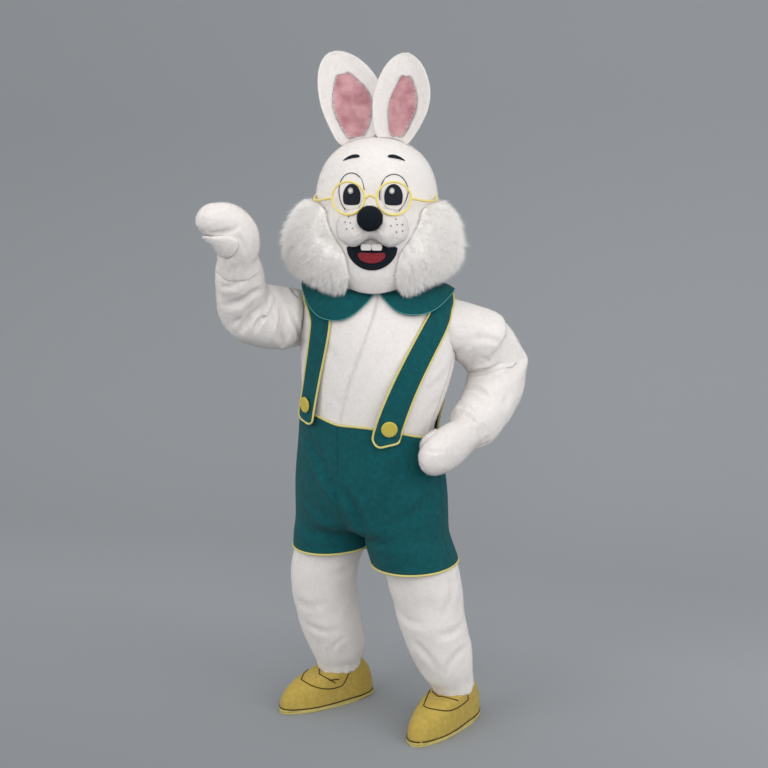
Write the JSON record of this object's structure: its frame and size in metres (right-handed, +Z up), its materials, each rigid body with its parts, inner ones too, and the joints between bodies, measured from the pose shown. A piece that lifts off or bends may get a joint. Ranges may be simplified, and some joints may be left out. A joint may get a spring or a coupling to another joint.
{
  "type": "rabbit mascot costume, held up by its wearer",
  "caption": "Full-body rabbit mascot costume in white plush: open head with fur cheeks, jumpsuit, mitts, teal shorts with braces, round collar and soft shoes.",
  "frame": {"origin": "between the wearer's shoulders, at the height of the suit's shoulder line, on the line of the neck", "axes": "+Z up, -Y the way the chest faces, +X the wearer's left"},
  "size_m": [0.8885, 0.6801, 2.1418],
  "materials": {
    "plush_white": "short-pile plush, matte",
    "fur_white": "long-pile fur, matte",
    "teal_felt": "felted cloth, matte",
    "yellow_trim": "folded bias trim, matte",
    "shoe_felt": "felt over foam, matte",
    "pink_felt": "short-pile plush, matte",
    "black_felt": "felt, matte",
    "red_felt": "felt, matte",
    "white_felt": "smooth, satin",
    "gloss_black": "smooth, gloss",
    "yellow_wire": "bent wire, painted"
  },
  "bodies": {
    "root": {"bridge": "yellow_wire", "brow_left": "black_felt", "brow_right": "black_felt", "button_left": "yellow_trim", "button_right": "yellow_trim", "cheek_fur_left": "fur_white", "cheek_fur_right": "fur_white", "collar_left": "teal_felt", "collar_right": "teal_felt", "ear_inner_left": "pink_felt", "ear_inner_right": "pink_felt", "ear_outer_left": "plush_white", "ear_outer_right": "plush_white", "eye_left": "white_felt", "eye_right": "white_felt", "eye_spark_left": "white_felt", "eye_spark_right": "white_felt", "head_back": "plush_white", "head_front": "plush_white", "hem_piping_left": "yellow_trim", "hem_piping_right": "yellow_trim", "leg_left": "plush_white", "leg_right": "plush_white", "mitt_left": "plush_white", "mitt_right": "plush_white", "mouth": "black_felt", "muzzle": "plush_white", "nose": "black_felt", "pupil_left": "gloss_black", "pupil_right": "gloss_black", "rim_left": "yellow_wire", "rim_right": "yellow_wire", "shoe_left": "shoe_felt", "shoe_right": "shoe_felt", "shorts_back_left": "teal_felt", "shorts_back_right": "teal_felt", "shorts_front_left": "teal_felt", "shorts_front_right": "teal_felt", "sleeve_left": "plush_white", "sleeve_right": "plush_white", "sole_left": "shoe_felt", "sole_right": "shoe_felt", "strap_left": "teal_felt", "strap_piping_left": "yellow_trim", "strap_piping_right": "yellow_trim", "strap_right": "teal_felt", "temple_left": "yellow_wire", "temple_right": "yellow_wire", "thumb_left": "plush_white", "thumb_right": "plush_white", "tongue": "red_felt", "tooth_left": "white_felt", "tooth_right": "white_felt", "torso_back_left": "plush_white", "torso_back_right": "plush_white", "torso_front_left": "plush_white", "torso_front_right": "plush_white", "waist_piping": "yellow_trim"}
  },
  "joints": []
}
